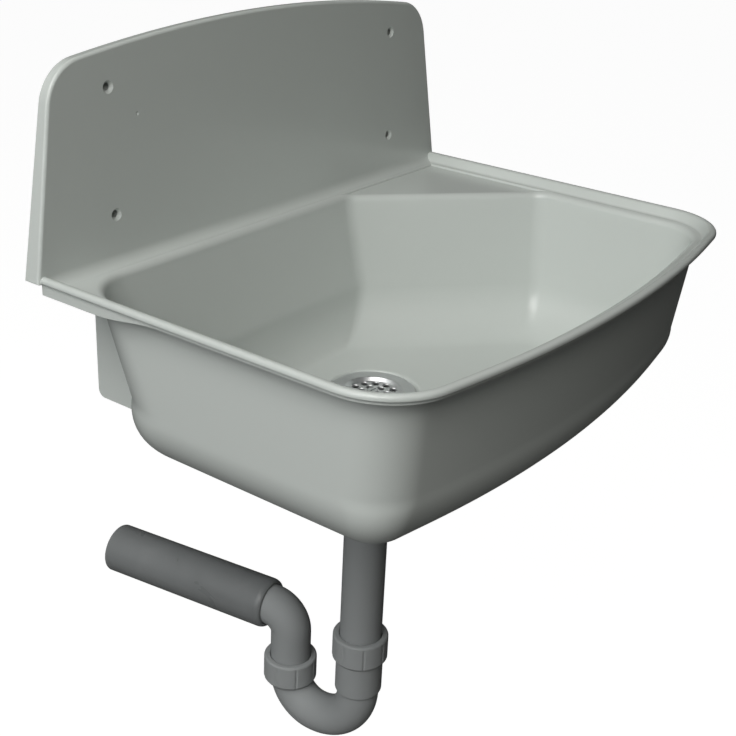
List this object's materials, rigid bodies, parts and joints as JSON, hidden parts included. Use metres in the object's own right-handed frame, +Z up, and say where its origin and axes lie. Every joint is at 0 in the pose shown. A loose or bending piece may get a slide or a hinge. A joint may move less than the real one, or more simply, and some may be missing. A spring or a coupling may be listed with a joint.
{
  "type": "wall-hung service sink",
  "caption": "Wall-hung moulded service sink with an upright splash panel, a corner shelf, a strainer waste and a swivelling tubular trap.",
  "frame": {"origin": "in the wall plane, on the middle of the sink's width, at the height of the rim", "axes": "+X along the wall to the right of a person facing the sink, +Y into the wall, +Z up"},
  "size_m": [0.5044, 0.5243, 0.6988],
  "materials": {
    "moulding": "glossy light grey green moulded plastic",
    "pipe_plastic": "satin mid grey extruded plastic",
    "nut_plastic": "satin mid grey moulded plastic",
    "waste_plastic": "satin dark grey moulded plastic",
    "rubber": "dull black rubber",
    "steel": "polished stainless steel",
    "brass": "turned brass"
  },
  "bodies": {
    "sink": {"sink_body": "moulding", "strainer_grid": "steel", "screw_insert": "brass", "flange_gasket": "rubber", "body_gasket": "rubber", "waste_body": "waste_plastic", "waste_slip_ring": "waste_plastic", "waste_seal": "rubber", "tailpipe": "pipe_plastic"},
    "strainer_screw": {"strainer_screw": "steel"},
    "waste_nut": {"waste_union_nut": "nut_plastic"},
    "trap_height": {"inlet_slip_ring": "waste_plastic", "inlet_seal": "rubber"},
    "inlet_nut": {"inlet_union_nut": "nut_plastic"},
    "trap": {"u_bend": "pipe_plastic", "outlet_slip_ring": "waste_plastic", "outlet_seal": "rubber"},
    "outlet_nut": {"outlet_union_nut": "nut_plastic"},
    "outlet": {"outlet_elbow": "pipe_plastic", "outlet_pipe": "pipe_plastic", "outlet_pipe_seal": "rubber"}
  },
  "joints": [
    {"name": "strainer_screw_turn", "type": "hinge", "parent": "sink", "child": "strainer_screw", "pos_m": [0.004, -0.132, -0.145], "axis": [0, 0, 1], "continuous": true},
    {"name": "waste_nut_turn", "type": "hinge", "parent": "sink", "child": "waste_nut", "pos_m": [0.004, -0.132, -0.2], "axis": [0, 0, 1], "continuous": true},
    {"name": "trap_height_slide", "type": "slide", "parent": "sink", "child": "trap_height", "axis": [0, 0, 1], "range_m": [-0.03, 0.014]},
    {"name": "inlet_nut_turn", "type": "hinge", "parent": "trap_height", "child": "inlet_nut", "pos_m": [0.004, -0.132, -0.406], "axis": [0, 0, 1], "continuous": true},
    {"name": "trap_swivel", "type": "hinge", "parent": "trap_height", "child": "trap", "pos_m": [0.004, -0.132, -0.43], "axis": [0, 0, 1], "range_deg": [-90, 90]},
    {"name": "outlet_nut_turn", "type": "hinge", "parent": "trap", "child": "outlet_nut", "pos_m": [0.004, -0.047, -0.472], "axis": [0, 0, 1], "continuous": true},
    {"name": "outlet_swivel", "type": "hinge", "parent": "trap", "child": "outlet", "pos_m": [0.004, -0.047, -0.45], "axis": [0, 0, 1], "range_deg": [-135, 120]}
  ]
}
